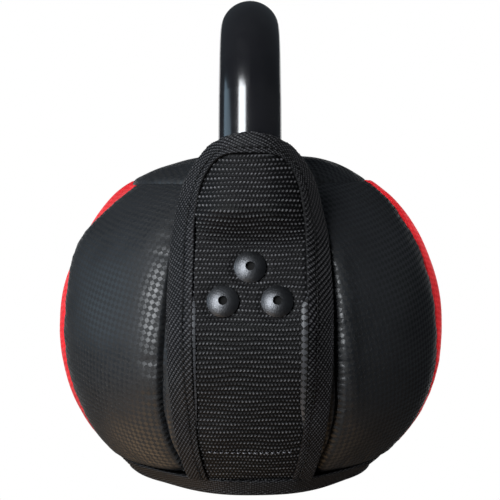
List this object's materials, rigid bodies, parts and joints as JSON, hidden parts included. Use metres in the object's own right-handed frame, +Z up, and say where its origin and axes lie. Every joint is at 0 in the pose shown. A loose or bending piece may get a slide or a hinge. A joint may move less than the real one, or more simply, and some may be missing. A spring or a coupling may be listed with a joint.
{
  "type": "medicine ball",
  "caption": "Soft weighted exercise ball with a U-shaped steel tube handle riveted through webbing straps on two sides, flat base and domed top.",
  "frame": {"origin": "on the floor under the centre of the ball", "axes": "+Z up; X along the handle's span; the end at +X is the one seen straight on, and -Y is the front"},
  "size_m": [0.2512, 0.2334, 0.278],
  "materials": {
    "handle_black": "gloss black powder coat",
    "plate_steel": "bare rolled steel",
    "rivet_black": "satin black paint, faintly speckled",
    "mandrel_steel": "broken steel pin",
    "black_leather": "coated cloth, embossed with small diamonds",
    "red_leather": "coated cloth, embossed with small diamonds",
    "black_webbing": "ribbed polyester webbing",
    "black_twill": "twill binding tape",
    "base_cloth": "coated canvas",
    "stiffener_plastic": "plain sheet",
    "wadding_fibre": "loose fibre",
    "bag_canvas": "tight canvas",
    "iron_sand": "fine grit"
  },
  "bodies": {
    "root": {"handle_tube": "handle_black", "handle_plate_left": "plate_steel", "handle_plate_right": "plate_steel", "top_panel": "black_leather", "red_panel_front": "red_leather", "red_panel_back": "red_leather", "black_panel_front_right": "black_leather", "black_panel_back_right": "black_leather", "black_panel_back_left": "black_leather", "black_panel_front_left": "black_leather", "strap_panel_left": "black_leather", "strap_panel_right": "black_leather", "webbing_strap_left": "black_webbing", "webbing_strap_right": "black_webbing", "strap_edging_left": "black_twill", "strap_edging_right": "black_twill", "pocket_lining_left": "black_webbing", "pocket_lining_right": "black_webbing", "backing_plate_left": "plate_steel", "backing_plate_right": "plate_steel", "rivet_left_top": "rivet_black", "rivet_left_front": "rivet_black", "rivet_left_back": "rivet_black", "rivet_right_top": "rivet_black", "rivet_right_front": "rivet_black", "rivet_right_back": "rivet_black", "mandrel_left_top": "mandrel_steel", "mandrel_left_front": "mandrel_steel", "mandrel_left_back": "mandrel_steel", "mandrel_right_top": "mandrel_steel", "mandrel_right_front": "mandrel_steel", "mandrel_right_back": "mandrel_steel", "base_panel": "base_cloth", "base_binding": "black_twill", "base_stiffener": "stiffener_plastic", "wadding": "wadding_fibre", "weight_bag": "bag_canvas", "iron_sand": "iron_sand"}
  },
  "joints": []
}
